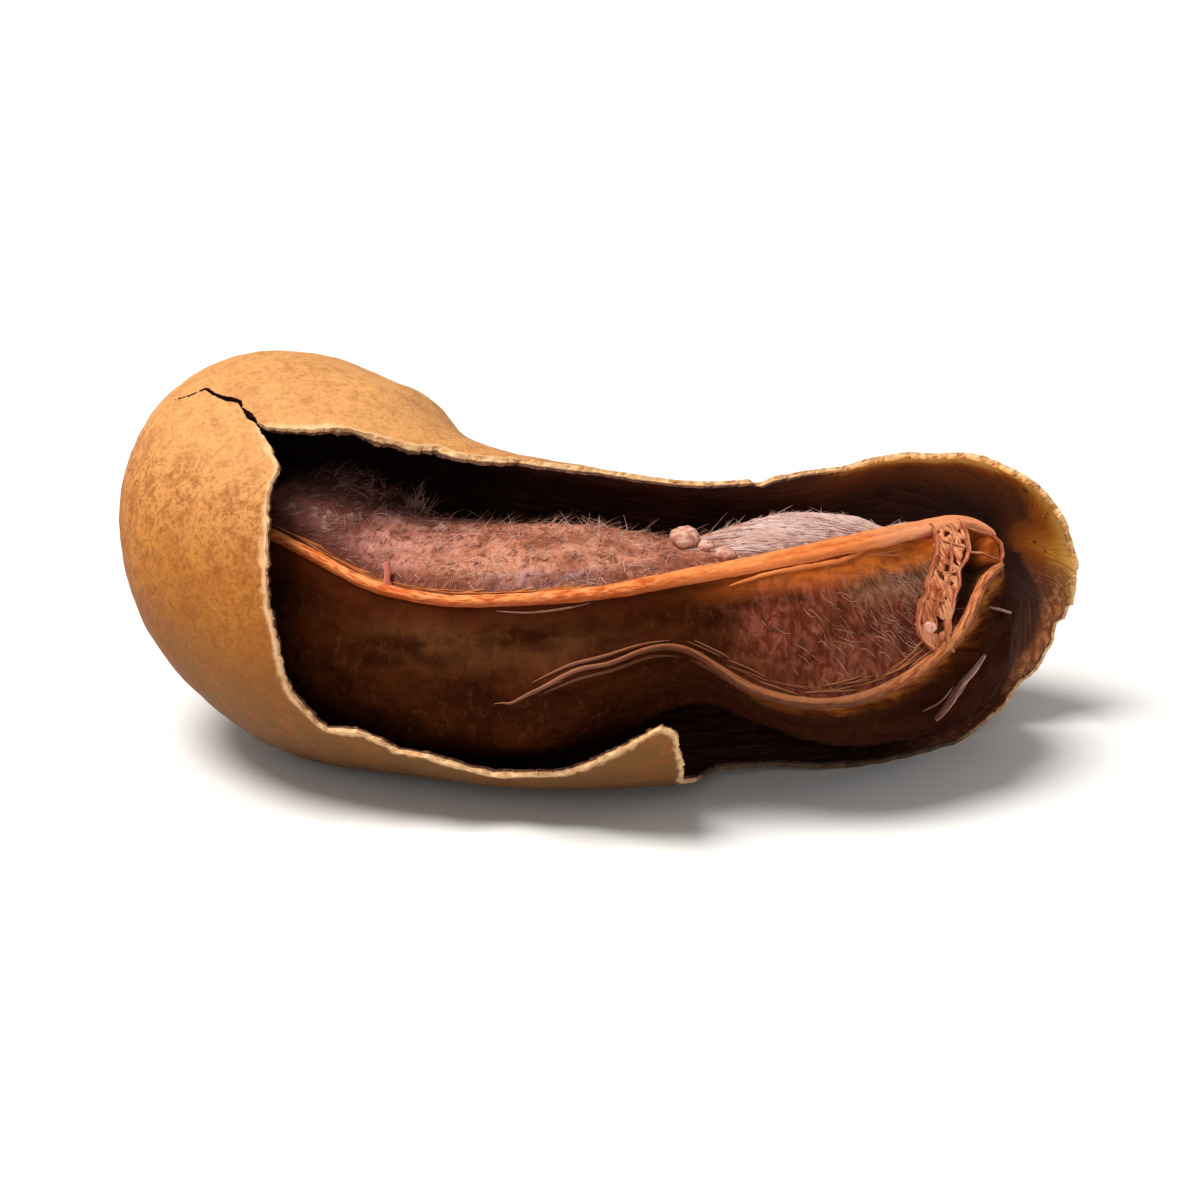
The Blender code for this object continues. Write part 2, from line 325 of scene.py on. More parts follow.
for k, depth in enumerate(RIM_DEPTHS, 1):
    place = outer[on_rim] * (1 - depth) + inner[on_rim] * depth
    bulge = 0.045 * jitter[k] + shreds * depth**2
    ring = np.full(len(outer), -1)
    ring[on_rim] = 2 * len(outer) + len(on_rim) * len(rim_points) + np.arange(len(on_rim))
    rings.append(ring)
    rim_points.append(place + away[on_rim] * bulge)
    depths.append(np.full(len(on_rim), depth))
inner[on_rim] += away[on_rim] * (shreds + 0.04 * jitter[4])
rings.append(len(outer) + np.arange(len(outer)))
strips = []
a, b = rim[:, 0], rim[:, 1]
for near, far in zip(rings[:-1], rings[1:]):
    strips += [np.stack([near[b], near[a], far[a]], -1), np.stack([near[b], far[a], far[b]], -1)]
strips = np.vstack(strips)

points = np.vstack([outer, inner, *rim_points]) - middle
all_faces = np.vstack([faces, faces[:, ::-1] + len(outer), strips])
kinds = np.repeat([0, 1, 2], [len(faces), len(faces), len(strips)])
rows = np.concatenate([np.arange(len(outer))] * 2 + [on_rim] * len(RIM_DEPTHS))
husk = made(
    "husk", points, all_faces, kinds, 50,
    laid_flat=np.column_stack([flat[rows] * (1, EDGE_SCALE), 0 * rows]),
    from_edge=to_break[rows, 0], depth=np.concatenate(depths),
)
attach(husk, "root")
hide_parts("shell")


class Shade:
    """One output of a material's nodes, which takes part in Python arithmetic."""

    def __init__(self, tree, socket=None):
        self.tree, self.socket = tree, socket

    def node(self, kind, settings={}, sockets={}, output=0):
        node = self.tree.nodes.new("ShaderNode" + kind)
        for name, value in settings.items():
            setattr(node, name, value)
        for place, value in sockets.items():
            if isinstance(value, Shade):
                self.tree.links.new(value.socket, node.inputs[place])
            else:
                node.inputs[place].default_value = value
        return Shade(self.tree, node.outputs[output])

    def maths(self, operation, *values):
        return self.node("Math", {"operation": operation}, dict(enumerate(values)))

    def __add__(self, other):
        return self.maths("ADD", self, other)

    def __sub__(self, other):
        return self.maths("SUBTRACT", self, other)

    def __rsub__(self, other):
        return self.maths("SUBTRACT", other, self)

    def __mul__(self, other):
        return self.maths("MULTIPLY", self, other)

    __radd__, __rmul__ = __add__, __mul__

    def rise(self, low, high):
        """0 below low, 1 above high, and smooth between. High may be the smaller."""
        smooth = {"interpolation_type": "SMOOTHSTEP"}
        return self.node("MapRange", smooth, {0: self, 1: low, 2: high})

    def between(self, first, second):
        """The first colour where this is 0 and the second where it is 1."""
        first, second = (c if isinstance(c, Shade) else colour(*c) for c in (first, second))
        return self.node("Mix", {"data_type": "RGBA"}, {0: self, 6: first, 7: second}, 2)

    def under(self, *layers):
        """This colour with others over it: where each one lies, how much of it, and which."""
        base = self
        for where, share, tint in layers:
            base = (where * share).between(base, tint)
        return base

    def noted(self, label, output=2):
        return self.node("Attribute", {"attribute_name": label}, {}, output)

    def place(self):
        return self.node("TexCoord", {}, {}, 3)

    def axis(self, k):
        return self.node("SeparateXYZ", {}, {0: self}, k)

    def stretched(self, x, y, z):
        """This vector with each of its parts multiplied."""
        return self.node("VectorMath", {"operation": "MULTIPLY"}, {0: self, 1: (x, y, z)})

    def grain(self, size, detail=3.0, edge=0.55, wander=0.0):
        """Noise in lumps of this size, in the units of this vector."""
        sockets = {"Vector": self, "Scale": 1 / size, "Detail": detail, "Roughness": edge}
        return self.node("TexNoise", {}, {**sockets, "Distortion": wander})

    def relief(self, depth, strength=1.0):
        """A normal from this height, whose full range is depth metres."""
        return self.node("Bump", {}, {"Height": self, "Distance": depth, "Strength": strength})


def colour(red, green, blue):
    """A colour as it looks on a screen, from 0 to 255, as the light that it reflects."""
    parts = [c / 255 for c in (red, green, blue)]
    return (*(((c + 0.055) / 1.055) ** 2.4 if c > 0.04 else c / 12.92 for c in parts), 1.0)


def finish(name, paint=lambda shade: {}, **constants):
    """A material. paint takes its shading tree and returns what varies over the surface."""
    material = bpy.data.materials.new(name)
    material.use_nodes = True
    tree = material.node_tree
    surface = tree.nodes["Principled BSDF"]
    for socket, value in constants.items():
        surface.inputs[socket.replace("_", " ")].default_value = value
    for socket, value in paint(Shade(tree)).items():
        tree.links.new(value.socket, surface.inputs[socket])
    return material


def paint_husk_outside(shade):
    place = shade.place()
    height = place.axis(2)
    wormy = place.grain(0.00085, 4, 0.66, 0.7)
    sandy = place.grain(0.00028, 3, 0.7)
    patches = place.grain(0.008, 4, 0.55)
    spots = (0.60 * wormy + 0.40 * sandy).rise(0.44, 0.60)
    mottles = place.grain(0.0017, 4, 0.62, 0.6).rise(0.47, 0.62)
    marked = 1 - height.rise(0.0205, 0.0245) * 0.55
    scuffed = (shade.noted("from_edge") + place.grain(0.0009) - 0.5).rise(0.42, 0.05)
    base = patches.rise(0.34, 0.66).between((174, 102, 24), (196, 122, 37)).under(
        # Paler and pinker towards the top: partly a warmer tone of the husk's own, partly painted
        # light from above.
        (height.rise(0.015, 0.026), 0.85, (232, 168, 104)),
        # Painted shade: darker low down.
        (height.rise(0.019, 0.005), 0.88, (100, 65, 6)),
        (mottles * marked, 0.44, (158, 86, 22)),
        (spots * marked, 0.62, (144, 80, 22)),
        (sandy.rise(0.48, 0.66) * marked, 0.34, (116, 62, 20)),
        # Painted shadow where the husk meets the floor.
        (height.rise(0.009, 0.002), 0.6, (62, 40, 12)),
        (scuffed, 0.7, (242, 196, 148)),
    )
    bumps = wormy * 0.40 + sandy * 0.55 - spots * 0.20
    return {
        "Base Color": base, "Roughness": 0.64 + spots * 0.14, "Normal": bumps.relief(0.00022, 0.8)
    }


def paint_husk_inside(shade):
    place, flat = shade.place(), shade.noted("laid_flat", 1)
    station, round_it, from_edge = flat.axis(0), flat.axis(1), shade.noted("from_edge")
    fibrous = flat.stretched(0.16, 1, 1).grain(0.45, 4, 0.6, 0.3)
    blotches = place.grain(0.0028, 3, 0.6)
    # Painted light: the lining is lighter near the rim at the far end, where light reaches into the
    # open end.
    lit_far_end = station.rise(8, 24) * from_edge.rise(5.2, 1.6) * round_it.rise(-6, 4)
    # Painted light: a golden band on the lining by the rim, where light reaches into the open end.
    # It is widest at the far end, narrow above and below, and dimmer below the middle.
    wide = round_it.rise(20, 13) * round_it.rise(-3, 4)
    reach = (from_edge + blotches * 0.7 + fibrous * 0.3 - 0.55) * (2.0 - wide * 1.2)
    lit_band = reach.rise(2.9, 0.6) * station.rise(16, 26)
    torn = place.grain(0.0011, 2, 0.5).rise(0.64, 0.70)
    lit_gold = reach.rise(1.3, 0.15).between((186, 96, 18), (240, 160, 58)).under(
        (round_it.rise(2, -7), 1, (124, 66, 30)), (torn, 0.8, (70, 32, 12))
    )
    # Painted highlight: the lining is brightest right at the rim, though not low down.
    lit_lip = (from_edge + blotches * 0.6 - 0.3).rise(0.9, 0.15) * round_it.rise(-9, 0)
    # Below the middle the lining by the rim is crumbly and reddish.
    crumbly = (from_edge + blotches * 0.5 - 0.25).rise(1.3, 0.3) * round_it.rise(4, -2)
    crumbs = place.grain(0.0006, 3, 0.6).rise(0.46, 0.62)
    base = lit_far_end.between((50, 20, 9), (110, 54, 18)).under(
        (fibrous.rise(0.42, 0.70), 0.30, (134, 70, 28)),
        (blotches.rise(0.5, 0.7), 0.35, (38, 16, 8)),
        (lit_band, 1, lit_gold),
        (lit_lip * station.rise(16, 26), 0.85, (248, 192, 98)),
        (crumbly * station.rise(18, 26), 0.8, crumbs.between((116, 60, 30), (176, 116, 74))),
    )
    return {
        "Base Color": base, "Roughness": 0.52 + fibrous * 0.3,
        "Normal": (fibrous + blotches * 0.5).relief(0.00022, 0.8),
    }


def paint_husk_break(shade):
    """Pale on the outer layer, and the lining's colour deeper in; at the far end the lining is
    golden with painted light. Painted shade darkens it in the crack and where the broken edge
    runs under the pulp."""
    place, flat = shade.place(), shade.noted("laid_flat", 1)
    station, round_it = flat.axis(0), flat.axis(1)
    crumbs = place.grain(0.0005, 3, 0.6)
    # Painted light: the lining on the broken face is golden at the far end, where light reaches.
    lit_break_end = station.rise(14, 24) * round_it.rise(-10, 1)
    lining = lit_break_end.between(
        crumbs.rise(0.4, 0.66).between((56, 26, 12), (116, 64, 30)),
        crumbs.rise(0.35, 0.6).between((178, 102, 36), (232, 168, 92)),
    )
    # Painted shade: the broken edge is dark where it runs low under the pulp.
    under = station.rise(3.9, 5) * station.rise(28, 23) * round_it.rise(-12.5, -14.5)
    base = crumbs.rise(0.35, 0.65).between((206, 148, 92), (246, 204, 150)).under(
        (place.grain(0.002, 3, 0.6).rise(0.58, 0.68), 0.6, (134, 76, 36)),
        ((shade.noted("depth") + crumbs * 0.4 - 0.2).rise(0.52, 0.72), 1, lining),
        # Painted shade inside the crack.
        (shade.noted("from_edge").rise(0.5, 0.9), 1, (70, 36, 14)),
        (under, 0.85, (46, 22, 12)),
    )
    return {"Base Color": base, "Normal": crumbs.relief(0.0001, 0.8)}


husk.data.materials.append(finish("husk_outside", paint_husk_outside, Specular_IOR_Level=0.3))
husk.data.materials.append(finish("husk_inside", paint_husk_inside, Specular_IOR_Level=0.3))
husk.data.materials.append(finish("husk_break", paint_husk_break, Roughness=0.8))

# ---------------------------------------------------------------------------------------------
# The pulp: a sticky body that has shrunk away from the husk. Above its main fibre it is
# covered in pinkish felt, and below it is bare, dark and wrinkled.
# ---------------------------------------------------------------------------------------------

PULP_RADIUS = [(-22, 9.2), (-16.5, 8.3), (-11, 8.35), (-3, 7.75), (4, 5.8), (12, 8.1), (20, 7.9)]
PULP_RISE = [
    (-22, -2.35), (-16.5, -2.43), (-11, -1.91), (-3, -0.52), (4, 0.96), (12, -0.09), (20, -1.2),
]
PULP_SHIFT = [(-22, 0.0), (-11, 0.3), (-3, 0.5), (4, 0.6), (12, 0.5), (20, 0.3)]
PULP_ENDS = (7.0, 7.2)
PULP_END_POWER = (2.2, 2.5)
PULP_END_LIFT = (1.0, 1.2)
PULP_STEP = 0.24
# Millimetres to a radian where the pulp is laid flat.
PULP_SCALE = 8

# The fibres that lie on it: station, angle, and half of the width there. The gap is between
# the smooth pulp and their undersides.
GAP = 0.35
STRAND_HALF_THICKNESS = 0.4
RIDGE_STRAND = [
    (-25, 57, 0.4), (-22.8, 50.5, 0.5), (-20.5, 48.2, 0.5), (-17, 45.6, 0.5), (-13, 43, 0.5),
    (-10, 41.6, 0.5), (-6.7, 42.4, 0.5), (-3.3, 43.8, 0.55), (-0.5, 46, 0.55), (2.3, 50.4, 0.6),
    (5.2, 54.6, 0.65), (8.2, 57.6, 0.7), (12.7, 62.5, 0.8), (15.7, 68.5, 0.95), (18.6, 74, 0.95),
    (21.3, 74.5, 0.8), (23.2, 72, 0.6), (24.2, 65, 0.45), (24.5, 61, 0.35),
]
LOWER_STRAND = [
    (-6.1, -2.5, 0.35), (-4.5, 4, 0.45), (-2.8, 10.2, 0.45), (-1.2, 10.8, 0.45), (0.8, 13.5, 0.5),
    (2.4, 11.5, 0.5), (3.8, 5, 0.5), (5.3, -4.5, 0.5), (7, -12.5, 0.5), (9.2, -14, 0.5),
    (12, -9.7, 0.55), (14.6, -1.5, 0.55), (17.1, 9.8, 0.55), (19.3, 21.5, 0.5), (20.6, 32, 0.5),
    (21.6, 39, 0.45), (22.8, 42.8, 0.4), (23.5, 44, 0.35),
]
END_STRAND = [(20.6, 7, 0.3), (19.8, 1, 0.4), (19, -4.5, 0.45), (18.3, -14, 0.45), (17.7, -23, 0.3)]

# A hollow behind the lace.
HOLLOW = [(19.5, 31, 1), (20.4, 38, 1), (21.3, 47, 1), (22.3, 55, 1), (23.2, 62, 1)]


def pulp_surface(s, angle):
    """The smooth outside of the pulp, without its fibres and folds."""
    left, right = past_ends(PULP_RADIUS, PULP_ENDS, s)
    radius = along(PULP_RADIUS, s) * np.sqrt(1 - left ** PULP_END_POWER[0])
    radius = radius * np.sqrt(1 - right ** PULP_END_POWER[1])
    height = along(SHELL_HEIGHT, s) + along(PULP_RISE, s)
    height = height + PULP_END_LIFT[0] * left**2 + PULP_END_LIFT[1] * right**2
    return placed(s, angle, radius, height, along(PULP_SHIFT, s))


def traced(knots, steps):
    """Stations, angles in radians and half widths of a fibre, evenly between its knots."""
    knots = np.array(knots, float)
    order = np.arange(len(knots))
    where = np.linspace(0, order[-1], steps * order[-1] + 1)
    s, angle, half = (along(np.stack([order, knots[:, k]], 1), where) for k in range(3))
    return s, np.radians(angle), half


def pulp_outward(s, angle, step=0.01):
    return unit(np.cross(
        pulp_surface(s + step, angle) - pulp_surface(s - step, angle),
        pulp_surface(s, angle + step) - pulp_surface(s, angle - step),
    ))


def bell(values, width):
    """1 where the values are 0, and down towards 0 past this width on both sides."""
    return np.exp(-((values / width) ** 2))


def beside(points, knots):
    """Distance from each point to the middle of a fibre, and how far up the pulp it lies of it."""
    s, angle, _ = traced(knots, 10)
    path = pulp_surface(s, angle)
    far = np.array([np.linalg.norm(points - p, axis=1) for p in path])
    return far.min(axis=0), angle[far.argmin(axis=0)]


flat, smooth_pulp, faces = wrapped(
    pulp_surface, stations(PULP_RADIUS, PULP_ENDS, PULP_STEP),
    np.radians(np.arange(-180, 179, 1.5)),
)
outward = facing(smooth_pulp, faces)
s, turn = flat[:, 0], np.where(flat[:, 1] < -1.75, flat[:, 1] + 2 * np.pi, flat[:, 1])
angle = np.degrees(turn)
ridge, lower = np.array(RIDGE_STRAND)[:-2], np.array(LOWER_STRAND)
above = angle - np.interp(s, ridge[:, 0], ridge[:, 1])
above_lower = angle - np.interp(s, lower[:, 0], lower[:, 1])

# Where each kind of skin lies, from 0 to 1.
wander = 5 * rough(smooth_pulp, 2.2, 11)
felt = rise(above + 0.6 * wander, -2, 4) * rise(above, 190, 140)
seed_face = rise(s, 4.5, 8.5) * rise(s, 22.5, 19.5) * rise(above, 3, -3) * rise(above_lower, -2, 3)
membrane = rise(s + wander * 0.2, 11.5, 15.5) * rise(s, 22.5, 21) * rise(above, 2, -3)
membrane *= rise(above + wander * 1.5, -42, -22)
lilac = rise(s, -10, -7) * rise(s, -0.5, -3) * rise(above, 2, 5) * rise(above, 20, 13)
# Painted shade, maroon in tone: on the left just above the ridge fibre, and high up under the
# husk's roof.
maroon = rise(s, -8, -14) * np.maximum(rise(above, 16, 8), rise(above, 36, 52))
# Painted highlight: a paler brown patch on the bare pulp just below the ridge fibre on the left.
worn = rise(s, -17, -11) * rise(s, 1, -5) * rise(above, -3, -9) * rise(above, -40, -20)

# The pulp rises to seat each fibre, is grooved beside it, and sinks behind the lace.
(to_ridge, _), (to_lower, _), (to_end, _) = (
    beside(smooth_pulp, knots) for knots in (RIDGE_STRAND, LOWER_STRAND, END_STRAND)
)
hollow = rise(beside(smooth_pulp, HOLLOW)[0], 1.1, 0.5)
buried = 1 + 0.4 * rise(s, 6, 1)
seat = np.maximum.reduce([
    bell(to_ridge, 1.25), bell(to_lower, 1.0) * buried, bell(to_end, 0.7)
])
under = rise(above, 0, -4)
groove = bell(to_ridge - 2.3 - 0.6 * rise(s, 7, 12), 0.5) * under
below = rise(above_lower, 4, -4) * rise(s, -4, 3)
groove = np.maximum(groove, bell(to_lower - 1.7, 0.45) * (0.35 + 0.65 * below))
groove = np.maximum(groove, 0.8 * bell(to_lower - 3.6, 0.6) * below)
groove *= np.clip(0.5 + 1.2 * rough(smooth_pulp, 2.0, 17), 0, 1) * rise(s, 1, 8)

# Between the fibres it is tufted where it is felted, and folded and lined where it is bare.
turned = np.column_stack([s, turn * PULP_SCALE / 2.6, 0 * s])
folds = rough(turned, 2.6, 12, 3)
lines = bell(rough(turned, 1.9, 13, 3), 0.10)
fine_lines = bell(rough(smooth_pulp, 1.0, 18, 3), 0.12)
tufts = 0.18 * rough(smooth_pulp, 1.9, 14, 3) + 0.10 * rough(smooth_pulp, 0.6, 15)
bare = -0.15 + 0.26 * folds - 0.16 * lines - 0.05 * fine_lines
bare += 0.02 * rough(smooth_pulp, 0.5, 16)
radiating = np.column_stack([s + turn * 3, turn * PULP_SCALE / 5 - s * 0.15, 0 * s])
stringy = 0.07 * rough(radiating, 0.55, 19, 3)
right = rise(s, 5, 9)
relief = felt * (tufts * (1 - 0.6 * right) + stringy * right) + (1 - felt) * bare
relief += seed_face * (0.22 + 0.5 * stringy)
free = np.clip(1 - seat, 0, 1)
relief = relief * free - 0.22 * groove * free - 0.75 * hollow
relief += seat * (GAP + 0.34) * (1 - 0.8 * hollow)
relief -= 0.9 * rise(s, 17, 20) * rise(above, 5, 14) * rise(above, 110, 70)
relief = np.minimum(relief, np.where(angle < -50, 0.1, 1.0))
pulp_points = smooth_pulp + outward * relief[:, None]
pulp = made(
    "pulp_body", pulp_points - middle, faces,
    laid_flat=np.column_stack([s, turn * PULP_SCALE, 0 * s]), felt=felt, seed_face=seed_face,
    membrane=membrane, lilac=lilac, maroon=maroon, worn=worn,
    # Where painted shade falls on the underside of the right-hand bulge.
    underside=rise(above_lower, -4, -12) * rise(s, 2, 7),
    # Where painted shade falls in crevices of the felt beside the ridge fibre.
    notched=rise(to_ridge, 2.6, 1.2) * rise(above, 0, 3),
    # Where painted shade falls in grooves, in the hollow behind the lace and in fine lines on the
    # bare pulp.
    sunk=np.maximum.reduce([groove * 0.7, hollow, lines * 0.3 * (1 - felt)]),
    near_ridge=rise(to_ridge, 2.4 + 0.7 * rise(s, 7, 12), 0.9) * under,
    near_lower=rise(to_lower, 2.6, 0.8) * rise(above_lower, 3, -3) * rise(s, 5, 10),
)
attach(pulp, "root")
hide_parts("pulp")


def paint_pulp(shade):
    place, flat = shade.place(), shade.noted("laid_flat", 1)
    station, near_ridge = flat.axis(0), shade.noted("near_ridge")
    threads = flat.stretched(1, 0.35, 1).grain(0.5, 4, 0.65, 1.2)
    fluff = place.grain(0.0008, 5, 0.68, 0.6)
    clouds = flat.stretched(0.5, 1, 1).grain(2.6, 3, 0.6)
    shadowy = flat.stretched(0.42, 1, 1).grain(1.9, 3, 0.65, 0.5).rise(0.50, 0.64)
    streaks = flat.stretched(0.25, 1, 1).grain(0.5, 3, 0.6)

    rosy = clouds.rise(0.36, 0.64).between((168, 98, 74), (212, 144, 116)).under(
        (shadowy, 0.5, (112, 62, 46)),
        (shade.noted("lilac") * fluff.rise(0.42, 0.58), 0.7, (186, 152, 158)),
        # Painted highlight: pinkish light on the felt towards the left.
        (station.rise(-9, -17) * clouds.rise(0.3, 0.6), 0.75, (216, 150, 140)),
        (shade.noted("maroon"), 0.45 + shadowy * 0.4, (88, 38, 34)),
        # Painted shade at the far left, under the closed end of the husk.
        (station.rise(-15.5, -18.5), 0.8, (74, 38, 34)),
        (station.rise(6, 11), 0.9, (246, 210, 203)),
    )
    # Painted shade in crevices beside the ridge fibre.
    notch_shade = shade.noted("notched") * (threads * 0.5 + fluff * 0.5).rise(0.42, 0.54)
    felted = (fluff * 0.7 + threads * 0.3).rise(0.34, 0.54).between((108, 56, 42), rosy).under(
        (fluff.rise(0.54, 0.72), 0.45, (226, 182, 164)), (notch_shade, 0.8, (84, 38, 22))
    )

    dark = clouds.rise(0.36, 0.66).between((47, 18, 5), (66, 28, 9)).under(
        (fluff.rise(0.50, 0.72), 0.25, (94, 46, 22)),
        # Painted highlight below the ridge fibre.
        (shade.noted("worn") * clouds.rise(0.35, 0.6), 0.5, (110, 68, 38)),
        (threads.rise(0.56, 0.68), 0.3, (104, 58, 36)),
        # Painted shade on the underside of the bulge.
        (shade.noted("underside"), 0.6, (44, 18, 10)),
    )
    plum = threads.rise(0.38, 0.68).between((94, 40, 26), (140, 78, 58)).under(
        (clouds.rise(0.45, 0.65), 0.6, (84, 38, 18))
    )
    warm = streaks.rise(0.38, 0.62).between((142, 62, 20), (226, 132, 54))
    olive = threads.rise(0.35, 0.7).between((100, 62, 42), (166, 124, 92))
    amber = station.rise(2, 11).between((82, 34, 13), (206, 104, 38))
    bare = dark.under(
        (shade.noted("seed_face"), 1, plum),
        (shade.noted("membrane"), 0.85, near_ridge.between(olive, warm)),
        (near_ridge, streaks * 1.2 + 0.1, amber),
        (shade.noted("near_lower"), 0.4, warm),
    )

    felt = (shade.noted("felt") + fluff * 0.6 - 0.3).rise(0.25, 0.75)
    # Painted shade in grooves and hollows.
    base = felt.between(bare, felted).under((shade.noted("sunk"), 0.75, (34, 12, 6)))
    bumps = threads * 0.4 + fluff * 0.6
    return {
        "Base Color": base, "Roughness": 0.46 + felt * 0.4 + fluff * 0.1,
        "Normal": bumps.relief(0.00034, 0.8),
    }


pulp.data.materials.append(finish(
    "pulp_flesh", paint_pulp, IOR=1.05, Subsurface_Weight=0.05,
    Subsurface_Radius=(1.0, 0.35, 0.15), Subsurface_Scale=0.0012,
))
on_pulp = BVHTree.FromPolygons(pulp_points.tolist(), faces.tolist())

# ---------------------------------------------------------------------------------------------
# The felt: short dry hairs that the upper pulp is matted with. Most lie down on it, the rest
# stand up and fray its outline, and one tuft near the closed end is longer.
# ---------------------------------------------------------------------------------------------

FELT_HAIRS = 3600
STANDING_SHARE = 0.3
TUFT_PLACE = (-16.1, 107)
TUFT_RADIUS = 0.95


def tapered_hairs(roots, ways, bends, widths, rings=5):
    """Points and faces of many three-sided hairs. Row, then side, then hair."""
    count = len(roots)
    t = np.linspace(0, 1, rings)[:, None, None]
    centre = roots + ways * t + bends * t**2
    one = unit(np.cross(ways, (0.31, 0.52, 0.79)))
    two = np.cross(unit(ways), one)
    thick = widths[:, None] * (1 - 0.85 * t)
    sides = [centre + thick * (one * np.cos(k) + two * np.sin(k)) for k in (0, 2.094, 4.189)]
    points = np.stack(sides, axis=1).reshape(-1, 3)
    ring, side = np.meshgrid(np.arange(rings - 1), np.arange(3), indexing="ij")
    a, b = (ring * 3 + side).ravel(), (ring * 3 + (side + 1) % 3).ravel()
    pattern = [np.stack([a, b, b + 3], -1), np.stack([a, b + 3, a + 3], -1), [[0, 2, 1]]]
    pattern = np.vstack(pattern + [[[3 * rings - 3, 3 * rings - 2, 3 * rings - 1]]])
    faces = (pattern * count)[None] + np.arange(count)[:, None, None]
    return points, faces.reshape(-1, 3)


draw = np.random.default_rng(7)
corners = pulp_points[faces]
square = np.cross(corners[:, 1] - corners[:, 0], corners[:, 2] - corners[:, 0])
in_view = rise(angle, 160, 140) * rise(s, 25, 22) * rise(s, -28, -26) * free
chance = np.linalg.norm(square, axis=1) * (felt * in_view)[faces].mean(axis=1) ** 2
chosen = draw.choice(len(faces), FELT_HAIRS, p=chance / chance.sum())
share = draw.dirichlet((1, 1, 1), FELT_HAIRS)[..., None]
roots = (corners[chosen] * share).sum(axis=1)
out = unit(square[chosen])
loose = draw.normal(0, 1, (FELT_HAIRS, 3)) + (0.5, 0, 0.25)
loose = unit(loose - out * (loose * out).sum(axis=1, keepdims=True))
standing = draw.random(FELT_HAIRS) < STANDING_SHARE
standing = np.where(standing, draw.uniform(0.6, 1.3, FELT_HAIRS), 0.22)
on_dome = rise(s[faces[chosen, 0]], 6, 9)
standing = standing * (1 - 0.55 * on_dome)
ways = unit(loose + out * standing[:, None])
long = draw.uniform(0.5, 1.5, (FELT_HAIRS, 1)) * (1 - 0.3 * on_dome[:, None])
tuft = pulp_surface(np.array(TUFT_PLACE[:1]), np.radians(TUFT_PLACE[1:]))
in_tuft = np.linalg.norm(roots - tuft, axis=1)[:, None] < TUFT_RADIUS
long = np.where(in_tuft, 0.6 * long + 0.5, long)
ways = np.where(in_tuft, 0.5 * ways + out + (0.1, 0, 0.5), ways)
bends = (loose * 0.25 - out * 0.25 + draw.normal(0, 0.22, (FELT_HAIRS, 3))) * long
points, hair_faces = tapered_hairs(
    roots - 0.04 * out, ways * long, bends, draw.uniform(0.022, 0.042, FELT_HAIRS)
)
felt_hairs = made("felt_hairs", points - middle, hair_faces)
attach(felt_hairs, "root")


def paint_hairs(shade):
    place = shade.place()
    across = place.axis(0)
    mottled = place.grain(0.0016, 2, 0.6).rise(0.38, 0.62)
    base = mottled.between((164, 108, 88), (222, 182, 164)).under(
        # Painted shade: darker towards the left end and darkest at the far left, as on the felt
        # there.
        (across.rise(-0.010, -0.018), 0.7, (168, 116, 106)),
        (across.rise(-0.0165, -0.0205), 0.75, (88, 52, 48)),
        (across.rise(0.004, 0.010), 0.6, (222, 190, 182)),
    )
    return {"Base Color": base, "Roughness": 0.7 + mottled * 0.1}


felt_hairs.data.materials.append(finish("felt_hair", paint_hairs, Specular_IOR_Level=0.3))

# ---------------------------------------------------------------------------------------------
# The ridge fibre: the thick orange cord that feeds the seeds, pressed into the top of the pulp.
# It spreads into a double ribbon, sheds fine strings on both sides, and ends in a curl. A lower
# rib runs beside the ribbon, and a pink fibril stands up from the cord.
# ---------------------------------------------------------------------------------------------

RIDGE_RIB = [
    (6.0, 46.5, 0.1), (8, 51, 0.15), (10.6, 54, 0.17), (12.8, 56.5, 0.17), (15.2, 64.5, 0.1),
]
RIDGE_STRINGS = 64


def lengths(path):
    """The distance along a path to each of its points."""
    return np.concatenate([[0], np.cumsum(np.linalg.norm(np.diff(path, axis=0), axis=1))])


def tube(path, out, half_width, half_height, sides, swell=0.0):
    """Points, faces and notes of a closed fibre along a path: an oval that lies square to out.
    The notes are the distance along, the way round and the side of each point."""
    side = unit(np.cross(out, np.gradient(path, axis=0)))
    turn = 2 * np.pi * np.arange(sides) / sides
    across, up = np.cos(turn) * (1 + swell), np.sin(turn) * (1 + swell)
    points = (
        path[:, None]
        + side[:, None] * (np.reshape(half_width, (-1, 1)) * across)[..., None]
        + out[:, None] * (np.reshape(half_height, (-1, 1)) * up)[..., None]
    )
    count = len(path)
    i, k = np.meshgrid(np.arange(count - 1), np.arange(sides), indexing="ij")
    a, b = (i * sides + k).ravel(), (i * sides + (k + 1) % sides).ravel()
    faces = [np.stack([a, b, b + sides], -1), np.stack([a, b + sides, a + sides], -1)]
    k, last = np.arange(1, sides - 1), (count - 1) * sides
    faces.append(np.stack([0 * k, k + 1, k], -1))
    faces.append(np.stack([0 * k + last, last + k, last + k + 1], -1))
    notes = np.stack(np.broadcast_arrays(
        lengths(path)[:, None], turn[None] * 0.6 + path[0, 0], np.cos(turn)[None]
    ), -1)
    return points.reshape(-1, 3), np.vstack(faces), notes.reshape(-1, 3)


def fibre_mesh(name, tubes):
    """One mesh object of several tubes, with their notes on its points for the material."""
    starts = np.cumsum([0] + [len(points) for points, _, _ in tubes])
    faces = np.vstack([faces + start for (_, faces, _), start in zip(tubes, starts)])
    points, notes = (np.vstack([part[k] for part in tubes]) for k in (0, 2))
    return made(name, points - middle, faces, flow=notes)


